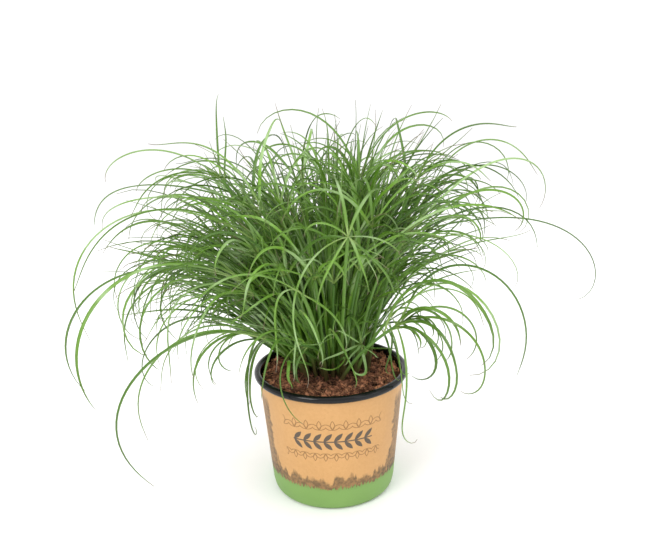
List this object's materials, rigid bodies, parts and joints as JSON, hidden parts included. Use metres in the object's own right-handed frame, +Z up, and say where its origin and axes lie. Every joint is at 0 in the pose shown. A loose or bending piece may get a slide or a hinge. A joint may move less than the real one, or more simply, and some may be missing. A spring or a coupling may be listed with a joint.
{
  "type": "potted umbrella sedge",
  "caption": "Potted umbrella sedge: arching grass-like leaves in whorls on slim stems, rooted in coir in a tapered plastic pot with a rolled rim and a printed wall",
  "frame": {"origin": "middle of the pot's flat underside, on the surface that it stands on", "axes": "+Z up along the pot's axis, -Y towards the viewer of the picture, +X to the viewer's right"},
  "size_m": [0.374, 0.3061, 0.308],
  "materials": {
    "pot_plastic": "satin moulded polypropylene, printed kraft tan with a green foot band, black glossy rolled rim",
    "coir": "moist loose coir and peat, rough and fibrous, reddish brown",
    "stem": "smooth three-sided living stem, mid green, faint lengthwise ribs",
    "leaf": "living grass-like leaf, satin, fine lengthwise veins, paler on the keel, dry brown at the tip"
  },
  "bodies": {
    "root": {"pot": "pot_plastic", "soil": "coir", "stem_01": "stem", "leaves_01": "leaf", "stem_02": "stem", "leaves_02": "leaf", "stem_03": "stem", "leaves_03": "leaf", "stem_04": "stem", "leaves_04": "leaf", "stem_05": "stem", "leaves_05": "leaf", "stem_06": "stem", "leaves_06": "leaf", "stem_07": "stem", "leaves_07": "leaf", "stem_08": "stem", "leaves_08": "leaf", "stem_09": "stem", "leaves_09": "leaf", "stem_10": "stem", "leaves_10": "leaf", "stem_11": "stem", "leaves_11": "leaf", "stem_12": "stem", "leaves_12": "leaf", "stem_13": "stem", "leaves_13": "leaf", "stem_14": "stem", "leaves_14": "leaf", "stem_15": "stem", "leaves_15": "leaf", "stem_16": "stem", "leaves_16": "leaf", "stem_17": "stem", "leaves_17": "leaf", "stem_18": "stem", "leaves_18": "leaf", "stem_19": "stem", "leaves_19": "leaf", "stem_20": "stem", "leaves_20": "leaf", "stem_21": "stem", "leaves_21": "leaf", "stem_22": "stem", "leaves_22": "leaf", "stem_23": "stem", "leaves_23": "leaf", "stem_24": "stem", "leaves_24": "leaf", "stem_25": "stem", "leaves_25": "leaf", "stem_26": "stem", "leaves_26": "leaf", "stem_27": "stem", "leaves_27": "leaf", "stem_28": "stem", "leaves_28": "leaf"}
  },
  "joints": []
}
